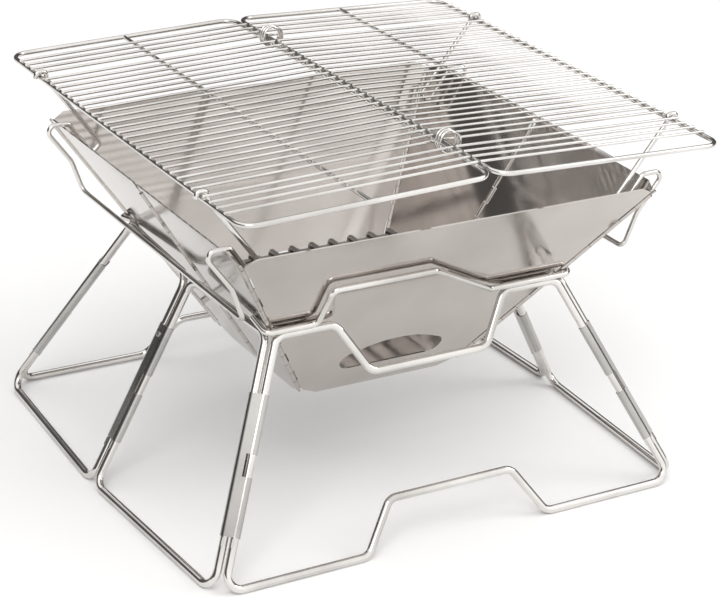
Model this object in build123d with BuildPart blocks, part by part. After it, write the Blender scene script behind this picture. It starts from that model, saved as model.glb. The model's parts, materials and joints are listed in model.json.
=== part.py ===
"""Folding camp grill: a wire stand, an inverted-pyramid firebox and a two-leaf cooking grate."""

from build123d import *
import math
import os

# ---- Driving dimensions (mm) ---------------------------------------------------------------

# Stand: six wire frames whose leg lines all run towards one point above the grill.
APEX_Z = 400.0
CORNER_X = 192.6
CORNER_Y = 181.0
MID_X = 204.0
WAIST_Z = 152.4
WIRE_R = 3.0
LEG_SPACING = 7.2
FOOT_BEND = 11.0
STEP_BEND = 10.0

# Step in the base wire and dip in the waist wire of the front and back frames.
STEP_FOOT_X = 75.0
STEP_TOP_X = 51.0
STEP_RISE = 33.0
DIP_TOP_X = 70.0
DIP_LOW_X = 48.0
DIP_DROP = 34.0

# Hinge sleeves rolled from sheet around each pair of leg wires.
SLEEVE_LOW_Z = 35.0
SLEEVE_HIGH_Z = 118.0
SLEEVE_WALL = 0.55
BARREL_FIT = 0.06
NOTCH_LENGTH = 16.0
STOP_REACH = 3.5
STOP_LENGTH = 6.0
STOP_THICKNESS = 1.4
STOP_GAP = 1.0
RIVET_R = 2.2
RIVET_HEIGHT = 1.3
RIVET_DROP = 7.0

# The back right leg is the open pivot of the folding loop, so its sleeve is wider.
OPEN_LEG_SPACING = 12.2
OPEN_SLOT_IN = 3.8
OPEN_SLOT_OUT = 2.7
OPEN_SLOT_RISE = 1.45

# Firebox: six sheet panels on an inverted pyramid.
BOX_APEX_Z = -25.0
RIM_Z = 233.0
RIM_X = 170.0
RIM_Y = 158.0
BOX_LOW_Z = 72.0
SHEET = 1.0
RIM_CLIP_ALONG = 11.0
RIM_CLIP_DOWN = 5.0
LOW_CLIP_ALONG = 9.0
LOW_CLIP_UP = 7.0
PLATE_SETBACK = 3.0
KNUCKLE_R = 1.9
PIN_R = 1.0
PIN_FIT = 0.05
KNUCKLE_COUNT = 13
KNUCKLE_GAP = 0.5
KNUCKLE_MARGIN = 4.5

# Air slot, low in the front and back panels.
SLOT_HALF = 43.0
SLOT_END = 10.0
SLOT_BOTTOM_Z = 93.0
SLOT_SIDE_Z = 105.0
SLOT_TOP_Z = 118.0

# Rest wires that hang the firebox on the stand's waist wires.
REST_R = 2.25
REST_Z = 157.3
REST_CLEAR = 5.2
REST_HOOK_RISE = 4.0
REST_RISE = 33.0
REST_LEFT_X = -86.0
REST_RIGHT_TOP_X = -4.0
REST_RIGHT_LOW_X = 56.0
REST_BEND = 5.0
REST_HOOK = 14.0

# Cooking grate: two leaves that meet in a low ridge and fold about it.
GRATE_CENTRE_Y = -9.0
GRATE_HALF_Y = 188.0
GRATE_EDGE_X = 188.5
GRATE_EDGE_Z = 275.0
GRATE_RIDGE_Z = 281.0
GRATE_WIRE_R = 1.8
GRATE_ROD_R = 1.6
GRATE_BAR_R = 1.0
GRATE_BEND = 12.0
RIDGE_WIRE_X = 2.4
FOLD_AXIS_RISE = 4.0
BAR_COUNT = 32
BAR_PITCH = 10.4
COIL_GAP_EXTRA = 5.0
COIL_GAPS = (4, 28)
COIL_R = 7.7
COIL_WIRE_R = 0.9
COIL_TURNS = 3
COIL_PITCH = 2.9

# Grate supports: one wire per side, hooked over the firebox rim.
SUPPORT_R = 1.8
SUPPORT_LEG_Y = 131.0
EYE_R = 4.2
LEG_TURN = (146.0, 216.0)
LEG_TURN_GAP = 8.0
EAR_INNER = (167.0, 236.2)
EAR_OUTER = (188.0, 236.6)
DROP_KINK = (165.0, 206.5)
BAR_POINT = (155.5, 181.5)

# Charcoal grate and ash tray.
CHARCOAL_Z = 122.0
CHARCOAL_HALF_X = 88.0
CHARCOAL_HALF_Y = 77.0
CHARCOAL_BAR_R = 2.0
CHARCOAL_ROD_R = 2.0
CHARCOAL_BARS = 11
CHARCOAL_TAIL = 8.0
CHARCOAL_INSET = 4.6
CHARCOAL_OVERHANG = 4.0
TRAY_FLOOR_Z = 75.0
TRAY_RIM_Z = 89.0
TRAY_SHEET = 0.8
TRAY_GAP = 3.2
TRAY_CORNER_R = 4.0

# The origin lies under the middle of the whole envelope, so the pieces shift along Y.
FRONT_REACH = GRATE_HALF_Y - GRATE_CENTRE_Y + GRATE_WIRE_R
BACK_REACH = CORNER_Y * (1 - WIRE_R / APEX_Z) + LEG_SPACING / math.sqrt(8) + WIRE_R
ENVELOPE_SHIFT_Y = (FRONT_REACH - BACK_REACH) / 2


# ---- Shared geometry -----------------------------------------------------------------------


def save(piece, name):
    """Label a finished piece, move it to the part's origin and write its STEP file."""
    placed = piece.moved(Location((0, ENVELOPE_SHIFT_Y, 0)))
    placed.label = name
    export_step(placed, f"parts/{name}.step")
    return placed


def leg_point(base_x, base_y, z, shift_x=0.0, shift_y=0.0):
    """Point at height z on a leg line that leans towards the apex, shifted sideways."""
    lean = 1 - z / APEX_Z
    return Vector(base_x * lean + shift_x, base_y * lean + shift_y, z)


def leg_direction(base_x, base_y):
    """Unit vector up a leg line."""
    return Vector(-base_x, -base_y, APEX_Z).normalized()


def bent_wire(corners, bend, radius, closed=False):
    """Round wire along straight runs joined by bends."""
    with BuildPart() as wire:
        with BuildLine() as route:
            FilletPolyline(*corners, radius=bend, close=closed)
        with BuildSketch(Plane(origin=route.line @ 0, z_dir=route.line % 0)):
            Circle(radius)
        sweep()
    return wire.part


def wire_loop(corners, bend, radius):
    """Closed wire whose four corners need not be coplanar, swept as two halves."""
    low_middle = (corners[3] + corners[0]) / 2
    high_middle = (corners[1] + corners[2]) / 2
    rising = bent_wire([low_middle, corners[0], corners[1], high_middle], bend, radius)
    falling = bent_wire([high_middle, corners[2], corners[3], low_middle], bend, radius)
    return rising + falling


def stop_ears(base_x, base_y, shift_x, shift_y, across):
    """Flattened ears on a leg wire, just below its hinge sleeve."""
    up = leg_direction(base_x, base_y)
    centre = leg_point(base_x, base_y, SLEEVE_LOW_Z, shift_x, shift_y) - up * STOP_GAP
    with BuildPart() as ears:
        with BuildSketch(Plane(origin=centre, x_dir=across.cross(up), z_dir=up * -1)):
            Rectangle(2 * STOP_REACH, STOP_THICKNESS)
        extrude(amount=STOP_LENGTH)
    return ears.part


def corner_shift(spacing=LEG_SPACING):
    """Sideways shift of each wire of a corner pair, along X and along Y."""
    return spacing / 2 / math.sqrt(2)


# ---- Stand frames --------------------------------------------------------------------------


def end_frame(side):
    """Front (side -1) or back (side 1) frame: one planar wire loop."""
    shift = corner_shift()

    def at(x, z):
        return Vector(x, leg_point(0, side * CORNER_Y, z, 0, side * shift).Y, z)

    low = WIRE_R
    foot_x = leg_point(CORNER_X, 0, low, -shift).X
    top_x = leg_point(CORNER_X, 0, WAIST_Z, -shift).X
    right_half = [
        at(STEP_TOP_X, low + STEP_RISE),
        at(STEP_FOOT_X, low),
        at(foot_x, low),
        at(top_x, WAIST_Z),
        at(DIP_TOP_X, WAIST_Z),
        at(DIP_LOW_X, WAIST_Z - DIP_DROP),
    ]
    left_half = [Vector(-p.X, p.Y, p.Z) for p in reversed(right_half)]
    frame = bent_wire(right_half + left_half, STEP_BEND, WIRE_R, closed=True)
    for hand in (-1, 1):
        across = Vector(hand, -side, 0)
        frame = frame + stop_ears(
            hand * CORNER_X, side * CORNER_Y, -hand * shift, side * shift, across
        )
    return frame


def side_frame(hand, side, corner_spacing=LEG_SPACING):
    """Half frame of the left (hand -1) or right (hand 1) side, front or back."""
    shift = corner_shift() + (corner_spacing - LEG_SPACING) / math.sqrt(2)
    gap = side * LEG_SPACING / 2
    corner = (hand * CORNER_X, side * CORNER_Y)
    corners = [
        leg_point(*corner, WIRE_R, hand * shift, -side * shift),
        leg_point(*corner, WAIST_Z, hand * shift, -side * shift),
        leg_point(hand * MID_X, 0, WAIST_Z, 0, gap),
        leg_point(hand * MID_X, 0, WIRE_R, 0, gap),
    ]
    frame = wire_loop(corners, FOOT_BEND, WIRE_R)
    across = Vector(hand, -side, 0)
    corner_ears = stop_ears(*corner, hand * shift, -side * shift, across)
    mid_ears = stop_ears(hand * MID_X, 0, 0, gap, Vector(0, side, 0))
    return frame + corner_ears + mid_ears


# ---- Hinge sleeves -------------------------------------------------------------------------


def sleeve(base_x, base_y, centre, across, notch_end):
    """Sheet sleeve with two barrels, one of them cut back in the middle into two knuckles."""
    up = leg_direction(base_x, base_y)
    length = (SLEEVE_HIGH_Z - SLEEVE_LOW_Z) / up.Z
    thickness = 2 * (WIRE_R + BARREL_FIT + SLEEVE_WALL)
    section = Plane(origin=centre, x_dir=across, z_dir=up)
    notch_low = section.offset((length - NOTCH_LENGTH) / 2)
    with BuildPart() as tube:
        with BuildSketch(section):
            SlotCenterToCenter(LEG_SPACING, thickness)
            with Locations((-LEG_SPACING / 2, 0), (LEG_SPACING / 2, 0)):
                Circle(WIRE_R + BARREL_FIT, mode=Mode.SUBTRACT)
        extrude(amount=length)
        with BuildSketch(notch_low):
            with Locations((notch_end * LEG_SPACING / 2 + notch_end * 0.6, 0)):
                Rectangle(LEG_SPACING, 2 * thickness)
        extrude(amount=NOTCH_LENGTH, mode=Mode.SUBTRACT)
    return tube.part


def corner_sleeve(hand, side):
    """Sleeve of a corner leg."""
    base = (hand * CORNER_X, side * CORNER_Y)
    return sleeve(*base, leg_point(*base, SLEEVE_LOW_Z), Vector(hand, -side, 0), -1)


def mid_sleeve(hand):
    """Sleeve of a mid-side leg."""
    base = (hand * MID_X, 0)
    return sleeve(*base, leg_point(*base, SLEEVE_LOW_Z), Vector(0, 1, 0), -1)


def open_sleeve(hand, side):
    """Wide sleeve of the open pivot: a close barrel and a long slot with clearance."""
    base = (hand * CORNER_X, side * CORNER_Y)
    up = leg_direction(*base)
    length = (SLEEVE_HIGH_Z - SLEEVE_LOW_Z) / up.Z
    across = Vector(hand, -side, 0).normalized()
    slot_r = WIRE_R + OPEN_SLOT_RISE
    outer_r = slot_r + SLEEVE_WALL
    barrel_x = -LEG_SPACING / 2
    slot_x = barrel_x + OPEN_LEG_SPACING + (OPEN_SLOT_OUT - OPEN_SLOT_IN) / 2
    slot_run = OPEN_SLOT_IN + OPEN_SLOT_OUT
    end_x = slot_x + slot_run / 2
    centre = leg_point(*base, SLEEVE_LOW_Z)
    with BuildPart() as tube:
        with BuildSketch(Plane(origin=centre, x_dir=across, z_dir=up)):
            with Locations(((barrel_x + end_x) / 2, 0)):
                SlotCenterToCenter(end_x - barrel_x, 2 * outer_r)
            with Locations((barrel_x, 0)):
                Circle(WIRE_R + BARREL_FIT, mode=Mode.SUBTRACT)
            with Locations((slot_x, 0)):
                SlotCenterToCenter(slot_run, 2 * slot_r, mode=Mode.SUBTRACT)
        extrude(amount=length)
    return tube.part


def mid_rivet(hand):
    """Small rivet head near the top of a mid-side sleeve, on its outer face."""
    up = leg_direction(hand * MID_X, 0)
    outward = Vector(0, 1, 0).cross(up) * hand
    face = WIRE_R + BARREL_FIT + SLEEVE_WALL
    centre = leg_point(hand * MID_X, 0, SLEEVE_HIGH_Z - RIVET_DROP) + outward * (face - 0.2)
    with BuildPart() as rivet:
        with BuildSketch(Plane(origin=centre, z_dir=outward)):
            Circle(RIVET_R)
        extrude(amount=RIVET_HEIGHT)
        fillet(rivet.faces().sort_by(Axis(centre, outward))[-1].edges(), RIVET_HEIGHT / 2)
    return rivet.part


# ---- Firebox panels ------------------------------------------------------------------------


def box_half(rim_half, z):
    """Half width of the firebox at height z."""
    return rim_half * (z - BOX_APEX_Z) / (RIM_Z - BOX_APEX_Z)


def panel_plane(outward, rim_half):
    """Plane of a panel: origin at the middle of its rim, local Y up the slope."""
    run = rim_half * (RIM_Z - BOX_LOW_Z) / (RIM_Z - BOX_APEX_Z)
    up_slope = (outward * run + Vector(0, 0, RIM_Z - BOX_LOW_Z)).normalized()
    along = Vector(0, 0, 1).cross(outward)
    return Plane(
        origin=outward * rim_half + Vector(0, 0, RIM_Z), x_dir=along, z_dir=along.cross(up_slope)
    )


def slope_length(rim_half):
    """Length of a panel down its slope."""
    run = rim_half * (RIM_Z - BOX_LOW_Z) / (RIM_Z - BOX_APEX_Z)
    return math.hypot(run, RIM_Z - BOX_LOW_Z)


def slope_v(rim_half, z):
    """Local Y, in a panel's plane, of height z."""
    return -slope_length(rim_half) * (RIM_Z - z) / (RIM_Z - BOX_LOW_Z)


def edge_u(side_half, rim_half, v):
    """Local X of the corner edge of a panel at local Y v."""
    low = side_half * (BOX_LOW_Z - BOX_APEX_Z) / (RIM_Z - BOX_APEX_Z)
    return side_half + (side_half - low) * v / slope_length(rim_half)


def knuckle_spans(start, end, parity):
    """Start and end of every second hinge knuckle between two distances down an edge."""
    step = (end - start) / KNUCKLE_COUNT
    spans = []
    for index in range(parity, KNUCKLE_COUNT, 2):
        low = start + index * step + KNUCKLE_GAP / 2
        spans.append((low, low + step - KNUCKLE_GAP))
    return spans


def add_hinge_edge(top, down, inward, parity, length):
    """Tabs and knuckles along one edge, inside the panel being built."""
    start = RIM_CLIP_DOWN + KNUCKLE_MARGIN
    end = length - LOW_CLIP_UP - KNUCKLE_MARGIN
    return [(top + down * a, top + down * b, inward) for a, b in knuckle_spans(start, end, parity)]


def hinged_panel(plane, outline, edges):
    """Sheet panel with rolled knuckles. Each edge is (top, down, inward, parity, length)."""
    tabs = [span for edge in edges for span in add_hinge_edge(*edge)]
    with BuildPart() as panel:
        with BuildSketch(plane):
            with BuildLine():
                Polyline(*outline, close=True)
            make_face()
            for first, last, inward in tabs:
                reach = inward * (PLATE_SETBACK + 1.5)
                with BuildLine():
                    Polyline(first, last, last + reach, first + reach, close=True)
                make_face()
        extrude(amount=SHEET / 2, both=True)
        for first, last, inward in tabs:
            low = plane.from_local_coords(first)
            high = plane.from_local_coords(last)
            with BuildSketch(Plane(origin=low, z_dir=high - low)):
                Circle(KNUCKLE_R)
            extrude(amount=(high - low).length)
        for top, down, inward, parity, length in edges:
            start = plane.from_local_coords(top)
            end = plane.from_local_coords(top + down * length)
            with BuildSketch(Plane(origin=start, z_dir=end - start)):
                Circle(PIN_R + PIN_FIT)
            extrude(amount=length, mode=Mode.SUBTRACT)
    return panel.part


def corner_edge(side_half, rim_half, hand):
    """Top point, direction, inward normal and length of a panel's corner edge."""
    length = slope_length(rim_half)
    top = Vector(hand * side_half, 0)
    low = Vector(hand * edge_u(side_half, rim_half, -length), -length)
    down = (low - top).normalized()
    inward = Vector(down.Y, -down.X) * hand
    if inward.X * hand > 0:
        inward = inward * -1
    return top, down, inward, (low - top).length


def clipped_corner(side_half, rim_half, hand):
    """Outline points beside a corner edge, from the rim down, with both corners clipped."""
    length = slope_length(rim_half)
    setback = PLATE_SETBACK

    def u(v):
        return hand * (edge_u(side_half, rim_half, v) - setback)

    return [
        Vector(u(0) - hand * RIM_CLIP_ALONG, 0),
        Vector(u(-RIM_CLIP_DOWN), -RIM_CLIP_DOWN),
        Vector(u(-length + LOW_CLIP_UP), -length + LOW_CLIP_UP),
        Vector(u(-length) - hand * LOW_CLIP_ALONG, -length),
    ]


def end_panel(outward):
    """Front or back panel of the firebox, with its air slot."""
    plane = panel_plane(outward, RIM_Y)
    left = clipped_corner(RIM_X, RIM_Y, -1)
    right = clipped_corner(RIM_X, RIM_Y, 1)
    edges = []
    for hand in (-1, 1):
        top, down, inward, length = corner_edge(RIM_X, RIM_Y, hand)
        edges.append((top, down, inward, 0, length))
    panel = hinged_panel(plane, right + left[::-1], edges)
    foot = SLOT_HALF - SLOT_END
    shoulder = foot + 2
    low = slope_v(RIM_Y, SLOT_BOTTOM_Z)
    middle = slope_v(RIM_Y, SLOT_SIDE_Z) + 6
    high = slope_v(RIM_Y, SLOT_TOP_Z)
    waist = (low + middle) / 2
    with BuildPart() as slot:
        with BuildSketch(plane):
            with BuildLine():
                Line((-foot, low), (foot, low))
                ThreePointArc((foot, low), (SLOT_HALF, waist), (shoulder, middle))
                ThreePointArc((shoulder, middle), (0, high), (-shoulder, middle))
                ThreePointArc((-shoulder, middle), (-SLOT_HALF, waist), (-foot, low))
            make_face()
        extrude(amount=5, both=True)
    return panel - slot.part


def side_panel(outward, along_hand):
    """Half of a side panel, from the mid seam to the corner at along_hand in local X."""
    plane = panel_plane(outward, RIM_X)
    length = slope_length(RIM_X)
    seam = along_hand * PLATE_SETBACK
    corner = clipped_corner(RIM_Y, RIM_X, along_hand)
    outline = [Vector(seam, 0)] + corner + [Vector(seam, -length)]
    top, down, inward, run = corner_edge(RIM_Y, RIM_X, along_hand)
    edges = [
        (top, down, inward, 1, run),
        (Vector(0, 0), Vector(0, -1), Vector(along_hand, 0), (1 - along_hand) // 2, length),
    ]
    return hinged_panel(plane, outline, edges)


def edge_pins(lines):
    """Hinge pins along the given edges, each from (x, y) at the rim towards the box apex."""
    with BuildPart() as pins:
        for x, y in lines:
            top = Vector(x, y, RIM_Z)
            down = (Vector(0, 0, BOX_APEX_Z) - top).normalized()
            reach = (RIM_Z - BOX_LOW_Z) / -down.Z
            start = top + down * RIM_CLIP_DOWN
            with BuildSketch(Plane(origin=start, z_dir=down)):
                Circle(PIN_R)
            extrude(amount=reach - RIM_CLIP_DOWN - LOW_CLIP_UP)
    return pins.part


# ---- Rest wires ----------------------------------------------------------------------------


def rest_wire(side):
    """Wire hung across the front (side -1) or back (side 1) panel, hooked round the corners."""
    hook_z = REST_Z + REST_HOOK_RISE
    slope_y = math.hypot(1, RIM_Y / (RIM_Z - BOX_APEX_Z))
    slope_x = math.hypot(1, RIM_X / (RIM_Z - BOX_APEX_Z))

    def front(x, z):
        y = box_half(RIM_Y, z) + REST_CLEAR * slope_y
        return Vector(-side * x, side * y, z)

    corner_x = box_half(RIM_X, REST_Z) + REST_CLEAR * slope_x
    back_y = box_half(RIM_Y, REST_Z) - REST_HOOK
    hook_x = box_half(RIM_X, hook_z) + (SHEET / 2 + REST_R) * slope_x
    corners = [
        Vector(side * hook_x, side * back_y, hook_z),
        front(-corner_x, REST_Z),
        front(REST_LEFT_X, REST_Z),
        front(REST_LEFT_X, REST_Z + REST_RISE),
        front(REST_RIGHT_TOP_X, REST_Z + REST_RISE),
        front(REST_RIGHT_LOW_X, REST_Z),
        front(corner_x, REST_Z),
        Vector(-side * hook_x, side * back_y, hook_z),
    ]
    return bent_wire(corners, REST_BEND, REST_R)


# ---- Cooking grate -------------------------------------------------------------------------


def leaf_plane():
    """Plane of the right grate leaf: origin on its ridge wire, local X out to the edge."""
    run = GRATE_EDGE_X - RIDGE_WIRE_X
    fall = GRATE_RIDGE_Z - GRATE_EDGE_Z
    origin = Vector(RIDGE_WIRE_X, GRATE_CENTRE_Y, GRATE_RIDGE_Z)
    return Plane(origin=origin, x_dir=Vector(run, 0, -fall), z_dir=Vector(fall, 0, run))


def bar_positions():
    """Local Y of each grate bar: an even pitch, opened a little where the coils sit."""
    total = (BAR_COUNT - 1) * BAR_PITCH + len(COIL_GAPS) * COIL_GAP_EXTRA
    positions = []
    y = -total / 2
    for index in range(BAR_COUNT):
        positions.append(y)
        y += BAR_PITCH + (COIL_GAP_EXTRA if index + 1 in COIL_GAPS else 0)
    return positions


def coil_positions():
    """Local Y of the middle of each coil, in the wider gaps between bars."""
    bars = bar_positions()
    return [(bars[index - 1] + bars[index]) / 2 for index in COIL_GAPS]


def grate_leaf():
    """Right leaf: bent border wire, a mid rod and cross bars welded on top."""
    plane = leaf_plane()
    width = math.hypot(GRATE_EDGE_X - RIDGE_WIRE_X, GRATE_RIDGE_Z - GRATE_EDGE_Z)
    depth = GRATE_HALF_Y
    outline = [(0, -depth), (width, -depth), (width, depth), (0, depth)]
    corners = [plane.from_local_coords(Vector(*p)) for p in outline]
    border = bent_wire(corners, GRATE_BEND, GRATE_WIRE_R, closed=True)
    rod_half = depth - GRATE_WIRE_R / 4
    middle = plane.from_local_coords(Vector(width / 2, -rod_half))
    with BuildPart() as leaf:
        add(border)
        with BuildSketch(Plane(origin=middle, z_dir=plane.y_dir)):
            Circle(GRATE_ROD_R)
        extrude(amount=2 * rod_half)
        lift = GRATE_WIRE_R + GRATE_BAR_R - 0.35
        for y in bar_positions():
            start = plane.from_local_coords(Vector(-GRATE_WIRE_R + 0.4, y, lift))
            with BuildSketch(Plane(origin=start, z_dir=plane.x_dir)):
                Circle(GRATE_BAR_R)
            extrude(amount=width + 2 * GRATE_WIRE_R - 0.8)
    return leaf.part


def ridge_coil(local_y):
    """Three-turn wire coil round both ridge wires, centred on the fold axis."""
    length = COIL_TURNS * COIL_PITCH
    start_y = GRATE_CENTRE_Y + local_y - length / 2
    base = Plane(
        origin=(0, start_y, GRATE_RIDGE_Z + FOLD_AXIS_RISE), x_dir=(1, 0, 0), z_dir=(0, 1, 0)
    )
    with BuildPart() as coil:
        with BuildLine() as route:
            Helix(COIL_PITCH, length, COIL_R, center=base.origin, direction=(0, 1, 0))
        with BuildSketch(Plane(origin=route.line @ 0, z_dir=route.line % 0)):
            Circle(COIL_WIRE_R)
        sweep(is_frenet=True)
    return coil.part


# ---- Grate supports ------------------------------------------------------------------------


def support_profile(hand, leg_y):
    """Corner points of one support leg, from the eye to the low bar."""
    eye = Vector(GRATE_EDGE_X, 0, GRATE_EDGE_Z)
    turn = Vector(LEG_TURN[0], 0, LEG_TURN[1])
    points = [
        eye + Vector(EYE_R, 0, 0.0),
        eye + Vector(EYE_R * 0.8, 0, EYE_R),
        eye + Vector(-EYE_R, 0, EYE_R),
        eye + Vector(-EYE_R, 0, -EYE_R * 0.4),
        turn + Vector(-LEG_TURN_GAP * 0.6, 0, LEG_TURN_GAP * 0.2),
        turn + Vector(LEG_TURN_GAP * 0.3, 0, -LEG_TURN_GAP * 0.7),
        Vector(EAR_INNER[0], 0, EAR_INNER[1]),
        Vector(EAR_OUTER[0], 0, EAR_OUTER[1]),
        Vector(DROP_KINK[0], 0, DROP_KINK[1]),
        Vector(BAR_POINT[0], 0, BAR_POINT[1]),
    ]
    return [Vector(hand * p.X, leg_y, p.Z) for p in points]


def grate_support(hand):
    """One wire: eye, hooked leg, bar along the side of the box, hooked leg, eye."""
    near = support_profile(hand, GRATE_CENTRE_Y - SUPPORT_LEG_Y)
    far = support_profile(hand, GRATE_CENTRE_Y + SUPPORT_LEG_Y)
    corners = near + far[::-1]
    bends = [2.8, 2.8, 2.8, 3.0, 3.2, 3.6, 5.0, 12.0, 6.0]
    with BuildPart() as wire:
        with BuildLine() as route:
            FilletPolyline(*corners, radius=bends + bends[::-1])
        with BuildSketch(Plane(origin=route.line @ 0, z_dir=route.line % 0)):
            Circle(SUPPORT_R)
        sweep()
    return wire.part


# ---- Charcoal grate and ash tray -----------------------------------------------------------


def charcoal_bars():
    """Thick bars along Y with both ends bent down over the cross rods."""
    lift = CHARCOAL_Z + CHARCOAL_ROD_R + CHARCOAL_BAR_R - 0.3
    pitch = 2 * CHARCOAL_HALF_X / (CHARCOAL_BARS - 1)
    with BuildPart() as bars:
        for index in range(CHARCOAL_BARS):
            x = -CHARCOAL_HALF_X + index * pitch
            add(
                bent_wire(
                    [
                        Vector(x, -CHARCOAL_HALF_Y, lift - CHARCOAL_TAIL),
                        Vector(x, -CHARCOAL_HALF_Y, lift),
                        Vector(x, CHARCOAL_HALF_Y, lift),
                        Vector(x, CHARCOAL_HALF_Y, lift - CHARCOAL_TAIL),
                    ],
                    3.0,
                    CHARCOAL_BAR_R,
                )
            )
    return bars.part


def charcoal_rods():
    """Cross rods under the charcoal bars."""
    with BuildPart() as rods:
        for y in (-CHARCOAL_HALF_Y + CHARCOAL_INSET, 0, CHARCOAL_HALF_Y - CHARCOAL_INSET):
            start = Vector(-CHARCOAL_HALF_X - CHARCOAL_OVERHANG, y, CHARCOAL_Z)
            with BuildSketch(Plane(origin=start, z_dir=Vector(1, 0, 0))):
                Circle(CHARCOAL_ROD_R)
            extrude(amount=2 * (CHARCOAL_HALF_X + CHARCOAL_OVERHANG))
    return rods.part


def tray_outline(z, inset):
    """Length and width of the ash tray at height z, pulled in by a distance."""
    reach = TRAY_GAP + inset
    return 2 * (box_half(RIM_X, z) - reach), 2 * (box_half(RIM_Y, z) - reach)


def ash_tray():
    """Shallow flared pan in the bottom of the firebox."""
    with BuildPart() as tray:
        for z in (TRAY_FLOOR_Z, TRAY_RIM_Z):
            with BuildSketch(Plane.XY.offset(z)):
                RectangleRounded(*tray_outline(z, 0), TRAY_CORNER_R)
        loft()
        for z in (TRAY_FLOOR_Z + TRAY_SHEET, TRAY_RIM_Z + TRAY_SHEET):
            with BuildSketch(Plane.XY.offset(z)):
                RectangleRounded(*tray_outline(z, TRAY_SHEET), TRAY_CORNER_R)
        loft(mode=Mode.SUBTRACT)
    return tray.part


# ---- Build ---------------------------------------------------------------------------------

os.makedirs("parts", exist_ok=True)

save(end_frame(-1), "front_frame")
save(end_frame(1), "back_frame")
save(side_frame(-1, -1), "left_front_frame")
save(side_frame(-1, 1), "left_back_frame")
save(side_frame(1, -1), "right_front_frame")
save(side_frame(1, 1, OPEN_LEG_SPACING), "right_back_frame")

save(corner_sleeve(-1, -1), "front_left_sleeve")
save(corner_sleeve(1, -1), "front_right_sleeve")
save(corner_sleeve(-1, 1), "back_left_sleeve")
save(open_sleeve(1, 1), "back_right_sleeve")
save(mid_sleeve(-1), "mid_left_sleeve")
save(mid_sleeve(1), "mid_right_sleeve")
save(mid_rivet(-1), "mid_left_rivet")
save(mid_rivet(1), "mid_right_rivet")

save(end_panel(Vector(0, -1, 0)), "firebox_front_panel")
save(end_panel(Vector(0, 1, 0)), "firebox_back_panel")
save(side_panel(Vector(-1, 0, 0), 1), "firebox_left_front_panel")
save(side_panel(Vector(-1, 0, 0), -1), "firebox_left_back_panel")
save(side_panel(Vector(1, 0, 0), -1), "firebox_right_front_panel")
save(side_panel(Vector(1, 0, 0), 1), "firebox_right_back_panel")
CORNERS = [(x, y) for x in (-RIM_X, RIM_X) for y in (-RIM_Y, RIM_Y)]
save(edge_pins(CORNERS), "corner_hinge_pins")
save(edge_pins([(-RIM_X, 0), (RIM_X, 0)]), "seam_hinge_pins")
save(rest_wire(-1), "front_rest_wire")
save(rest_wire(1), "back_rest_wire")

right_leaf = grate_leaf()
save(right_leaf, "right_grate_leaf")
turn_axis = Axis((0, GRATE_CENTRE_Y, 0), (0, 0, 1))
save(right_leaf.rotate(turn_axis, 180), "left_grate_leaf")
FRONT_COIL_Y, BACK_COIL_Y = coil_positions()
save(ridge_coil(FRONT_COIL_Y), "front_ridge_coil")
save(ridge_coil(BACK_COIL_Y), "back_ridge_coil")
save(grate_support(-1), "left_grate_support")
save(grate_support(1), "right_grate_support")

save(charcoal_bars(), "charcoal_grate_bars")
save(charcoal_rods(), "charcoal_grate_rods")
save(ash_tray(), "ash_tray")
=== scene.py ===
"""Looks, light and camera for the folding camp grill."""

import json
import math

import bpy
from mathutils import Matrix, Vector


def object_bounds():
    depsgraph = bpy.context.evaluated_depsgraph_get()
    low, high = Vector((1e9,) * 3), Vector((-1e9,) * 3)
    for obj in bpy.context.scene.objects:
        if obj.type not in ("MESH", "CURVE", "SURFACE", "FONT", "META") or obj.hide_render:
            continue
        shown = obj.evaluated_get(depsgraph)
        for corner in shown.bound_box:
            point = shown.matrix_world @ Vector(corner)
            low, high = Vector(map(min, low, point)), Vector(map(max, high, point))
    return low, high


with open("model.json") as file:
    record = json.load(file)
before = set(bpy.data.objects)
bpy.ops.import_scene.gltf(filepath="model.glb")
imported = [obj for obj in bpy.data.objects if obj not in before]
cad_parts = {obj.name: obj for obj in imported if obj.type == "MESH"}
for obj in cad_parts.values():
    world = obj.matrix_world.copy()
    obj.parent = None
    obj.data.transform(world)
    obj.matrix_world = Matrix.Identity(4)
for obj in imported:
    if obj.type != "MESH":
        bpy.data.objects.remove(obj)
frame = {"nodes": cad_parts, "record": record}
cad_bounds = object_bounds()

# ---- Colours and surface sizes -------------------------------------------------------------

WIRE_LIGHT = (0.74, 0.72, 0.70)
WIRE_SHADE = (0.54, 0.52, 0.50)
SHEET_LIGHT = (0.56, 0.525, 0.50)
SHEET_SHADE = (0.50, 0.465, 0.44)
SLEEVE_LIGHT = (0.50, 0.49, 0.47)
SLEEVE_SHADE = (0.38, 0.37, 0.36)
SOOT_LIGHT = (0.24, 0.23, 0.215)
SOOT_SHADE = (0.13, 0.125, 0.12)
FLOOR_LIGHT = (0.93, 0.93, 0.93)
FLOOR_SHADE = (0.90, 0.90, 0.90)

SMUDGE_SCALE = 14.0
SMUDGE_DETAIL = 5
GLOSS_SCALE = SMUDGE_SCALE * 3
GLOSS_DETAIL = 6
GRAIN_SCALE = 900.0
GRAIN_DETAIL = 3
GRAIN_STRENGTH = 0.5
WAVE_SCALE = 9.0
WAVE_DETAIL = 1
WAVE_STRENGTH = 0.6
EVEN_STRETCH = (1.0, 1.0, 1.0)
DRAWN_STRETCH = (1.0, 1.0, 0.06)
ROLLED_STRETCH = (0.05, 1.0, 1.0)

NOISE_LOW = 0.3
NOISE_HIGH = 0.7
TONE_SHADE_END = 0.34
TONE_LIGHT_START = 0.62

FLOOR_SIZE = 14.0
FLOOR_CLOUD_SCALE = 2.0
FLOOR_CLOUD_DETAIL = 2
FLOOR_ROUGHNESS = 0.8
FLOOR_SPECULAR = 0.1

# ---- Studio: how far round and up the dark walls reach, as parts of a direction --------------

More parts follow.
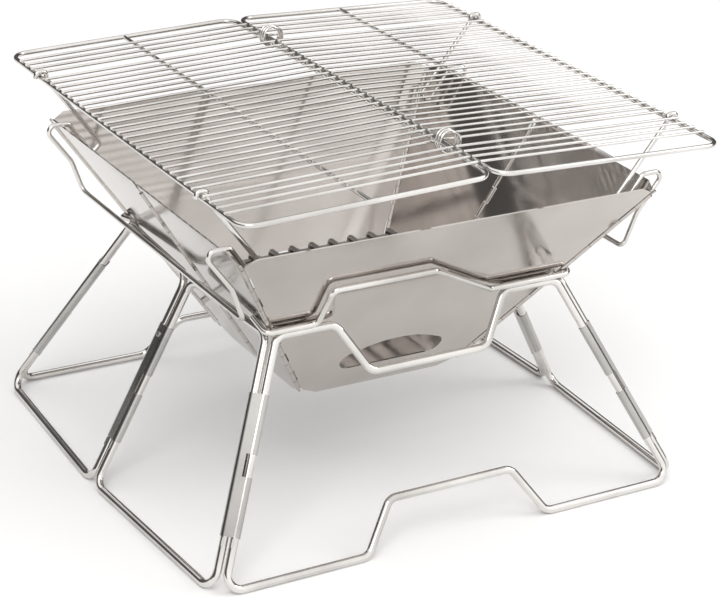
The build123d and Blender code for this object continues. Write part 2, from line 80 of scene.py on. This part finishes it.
BACK_WALL_FULL = 0.25
BACK_WALL_START = -0.05
SIDE_WALL_FULL = 0.92
SIDE_WALL_START = 0.70
WALL_TOP_START = 0.50
WALL_TOP_END = 0.72
WALL_DARK = (0.085, 0.082, 0.08)
STUDIO_WHITE = (1.0, 0.995, 0.985)
STUDIO_STRENGTH = 1.27

KEY_PLACE = (-1.4, -1.6, 2.4)
KEY_SIZE = 1.4
KEY_POWER = 22
FILL_PLACE = (2.2, -1.1, 1.8)
FILL_SIZE = 1.2
FILL_POWER = 14

# ---- Camera: solved from the reference view --------------------------------------------------

CAMERA_PLACE = Vector((-0.8093, -1.3599, 0.8157))
CAMERA_AZIMUTH = math.radians(31.21)
CAMERA_ELEVATION = math.radians(23.94)
CAMERA_ROLL = math.radians(2.63)
CAMERA_LENS = 114.8
CAMERA_SENSOR = 36.0

# ---- Materials -----------------------------------------------------------------------------


def mapped_noise(tree, scale, stretch, detail):
    """Noise in object coordinates, stretched along one direction."""
    coordinates = tree.nodes.new("ShaderNodeTexCoord")
    mapping = tree.nodes.new("ShaderNodeMapping")
    mapping.inputs["Scale"].default_value = stretch
    noise = tree.nodes.new("ShaderNodeTexNoise")
    noise.inputs["Scale"].default_value = scale
    noise.inputs["Detail"].default_value = detail
    tree.links.new(coordinates.outputs["Object"], mapping.inputs["Vector"])
    tree.links.new(mapping.outputs["Vector"], noise.inputs["Vector"])
    return noise.outputs["Fac"]


def remapped(tree, source, low, high):
    """A noise value spread between two numbers."""
    spread = tree.nodes.new("ShaderNodeMapRange")
    spread.inputs["From Min"].default_value = NOISE_LOW
    spread.inputs["From Max"].default_value = NOISE_HIGH
    spread.inputs["To Min"].default_value = low
    spread.inputs["To Max"].default_value = high
    tree.links.new(source, spread.inputs["Value"])
    return spread.outputs["Result"]


def two_tone(tree, source, shade, light):
    """Colour between two tones, driven by a noise."""
    ramp = tree.nodes.new("ShaderNodeValToRGB")
    ramp.color_ramp.elements[0].position = TONE_SHADE_END
    ramp.color_ramp.elements[1].position = TONE_LIGHT_START
    ramp.color_ramp.elements[0].color = (*shade, 1)
    ramp.color_ramp.elements[1].color = (*light, 1)
    tree.links.new(source, ramp.inputs["Fac"])
    return ramp.outputs["Color"]


def bumped(tree, source, distance, strength, below=None):
    """Bump from a noise, on top of another bump if one is given."""
    bump = tree.nodes.new("ShaderNodeBump")
    bump.inputs["Distance"].default_value = distance
    bump.inputs["Strength"].default_value = strength
    tree.links.new(source, bump.inputs["Height"])
    if below:
        tree.links.new(below, bump.inputs["Normal"])
    return bump.outputs["Normal"]


def surface(name, metallic):
    """New material with its node tree and its shader."""
    material = bpy.data.materials.new(name)
    material.use_nodes = True
    shader = material.node_tree.nodes["Principled BSDF"]
    shader.inputs["Metallic"].default_value = metallic
    return material, material.node_tree, shader


def metal(name, shade, light, roughness, stretch, grain_depth, wave_depth):
    """Steel with drifting tone, fine grain along one direction and slow waves."""
    material, tree, shader = surface(name, 1.0)
    cloud = mapped_noise(tree, SMUDGE_SCALE, EVEN_STRETCH, SMUDGE_DETAIL)
    grain = mapped_noise(tree, GRAIN_SCALE, stretch, GRAIN_DETAIL)
    wave = mapped_noise(tree, WAVE_SCALE, EVEN_STRETCH, WAVE_DETAIL)
    tree.links.new(two_tone(tree, cloud, shade, light), shader.inputs["Base Color"])
    gloss = mapped_noise(tree, GLOSS_SCALE, stretch, GLOSS_DETAIL)
    tree.links.new(remapped(tree, gloss, *roughness), shader.inputs["Roughness"])
    slow = bumped(tree, wave, wave_depth, WAVE_STRENGTH)
    fine = bumped(tree, grain, grain_depth, GRAIN_STRENGTH, slow)
    tree.links.new(fine, shader.inputs["Normal"])
    return material


MATERIALS = {
    "frame_wire": metal(
        "drawn_wire",
        WIRE_SHADE,
        WIRE_LIGHT,
        roughness=(0.05, 0.13),
        stretch=DRAWN_STRETCH,
        grain_depth=0.00001,
        wave_depth=0.0001,
    ),
    "grate_wire": metal(
        "grate_wire",
        WIRE_SHADE,
        WIRE_LIGHT,
        roughness=(0.08, 0.18),
        stretch=ROLLED_STRETCH,
        grain_depth=0.00001,
        wave_depth=0.0001,
    ),
    "mirror_sheet": metal(
        "mirror_sheet",
        SHEET_SHADE,
        SHEET_LIGHT,
        roughness=(0.07, 0.13),
        stretch=ROLLED_STRETCH,
        grain_depth=0.0000015,
        wave_depth=0.0003,
    ),
    "sleeve_sheet": metal(
        "rolled_sleeve",
        SLEEVE_SHADE,
        SLEEVE_LIGHT,
        roughness=(0.12, 0.22),
        stretch=DRAWN_STRETCH,
        grain_depth=0.00002,
        wave_depth=0.0002,
    ),
    "charcoal_wire": metal(
        "dull_wire",
        SOOT_SHADE,
        SOOT_LIGHT,
        roughness=(0.28, 0.50),
        stretch=ROLLED_STRETCH,
        grain_depth=0.00006,
        wave_depth=0.0003,
    ),
    "pins": metal(
        "pin_wire",
        SLEEVE_SHADE,
        SLEEVE_LIGHT,
        roughness=(0.22, 0.38),
        stretch=DRAWN_STRETCH,
        grain_depth=0.00002,
        wave_depth=0.0001,
    ),
}


def dress_nodes():
    """Each CAD node takes the material of its slot."""
    for part in frame["record"]["subparts"]:
        node = frame["nodes"][part["node"]]
        for slot in node.material_slots:
            slot.material = MATERIALS[part["material_slot"]]


# ---- Floor, light and camera ---------------------------------------------------------------


def make_floor():
    """Wide pale floor at the foot of the stand."""
    half = FLOOR_SIZE / 2
    low = cad_bounds[0][2]
    mesh = bpy.data.meshes.new("floor")
    corners = [(-half, -half, low), (half, -half, low), (half, half, low), (-half, half, low)]
    mesh.from_pydata(corners, [], [(0, 1, 2, 3)])
    floor = bpy.data.objects.new("floor", mesh)
    bpy.context.collection.objects.link(floor)
    material, tree, shader = surface("pale_floor", 0.0)
    cloud = mapped_noise(tree, FLOOR_CLOUD_SCALE, EVEN_STRETCH, FLOOR_CLOUD_DETAIL)
    tree.links.new(two_tone(tree, cloud, FLOOR_SHADE, FLOOR_LIGHT), shader.inputs["Base Color"])
    shader.inputs["Roughness"].default_value = FLOOR_ROUGHNESS
    shader.inputs["Specular IOR Level"].default_value = FLOOR_SPECULAR
    mesh.materials.append(material)


def direction_ramp(tree, value, start, end):
    """0 to 1 as one part of the direction goes from start to end."""
    spread = tree.nodes.new("ShaderNodeMapRange")
    spread.interpolation_type = "SMOOTHSTEP"
    spread.inputs["From Min"].default_value = start
    spread.inputs["From Max"].default_value = end
    tree.links.new(value, spread.inputs["Value"])
    return spread.outputs["Result"]


def combined(tree, operation, *values):
    """Result of a math operation on one or two values."""
    math_node = tree.nodes.new("ShaderNodeMath")
    math_node.operation = operation
    for index, value in enumerate(values):
        tree.links.new(value, math_node.inputs[index])
    return math_node.outputs["Value"]


def make_world():
    """Studio surround: bright in front and above, dark walls behind and beside the grill."""
    world = bpy.data.worlds.new("studio")
    world.use_nodes = True
    bpy.context.scene.world = world
    tree = world.node_tree
    coordinates = tree.nodes.new("ShaderNodeTexCoord")
    parts = tree.nodes.new("ShaderNodeSeparateXYZ")
    tree.links.new(coordinates.outputs["Generated"], parts.inputs["Vector"])
    front = direction_ramp(tree, parts.outputs["Y"], BACK_WALL_FULL, BACK_WALL_START)
    sideways = combined(tree, "ABSOLUTE", parts.outputs["X"])
    between_sides = direction_ramp(tree, sideways, SIDE_WALL_FULL, SIDE_WALL_START)
    above = direction_ramp(tree, parts.outputs["Z"], WALL_TOP_START, WALL_TOP_END)
    window = combined(tree, "MULTIPLY", front, between_sides)
    brightest = combined(tree, "MAXIMUM", window, above)
    ramp = tree.nodes.new("ShaderNodeValToRGB")
    ramp.color_ramp.elements[0].color = (*WALL_DARK, 1)
    ramp.color_ramp.elements[1].color = (*STUDIO_WHITE, 1)
    back = tree.nodes["Background"]
    back.inputs["Strength"].default_value = STUDIO_STRENGTH
    tree.links.new(brightest, ramp.inputs["Fac"])
    tree.links.new(ramp.outputs["Color"], back.inputs["Color"])


def add_softbox(name, place, size, power):
    """Square soft light aimed at the middle of the grill."""
    light = bpy.data.lights.new(name, "AREA")
    light.shape = "SQUARE"
    light.size = size
    light.energy = power
    lamp = bpy.data.objects.new(name, light)
    bpy.context.collection.objects.link(lamp)
    target = (Vector(cad_bounds[0]) + Vector(cad_bounds[1])) / 2
    lamp.location = place
    lamp.rotation_euler = (target - Vector(place)).to_track_quat("-Z", "Y").to_euler()


def make_camera():
    """Camera solved from the reference view."""
    data = bpy.data.cameras.new("camera")
    data.lens = CAMERA_LENS
    data.sensor_width = CAMERA_SENSOR
    camera = bpy.data.objects.new("camera", data)
    bpy.context.collection.objects.link(camera)
    az, el, roll = CAMERA_AZIMUTH, CAMERA_ELEVATION, CAMERA_ROLL
    forward = Vector((math.sin(az) * math.cos(el), math.cos(az) * math.cos(el), -math.sin(el)))
    level = Vector((math.cos(az), -math.sin(az), 0))
    rise = level.cross(forward)
    right = level * math.cos(roll) + rise * math.sin(roll)
    up = rise * math.cos(roll) - level * math.sin(roll)
    turn = Matrix((right, up, -forward)).transposed()
    camera.matrix_world = Matrix.Translation(CAMERA_PLACE) @ turn.to_4x4()
    bpy.context.scene.camera = camera


dress_nodes()
make_floor()
make_world()
add_softbox("key_softbox", KEY_PLACE, KEY_SIZE, KEY_POWER)
add_softbox("right_softbox", FILL_PLACE, FILL_SIZE, FILL_POWER)
make_camera()
bpy.context.scene.view_settings.view_transform = "Standard"
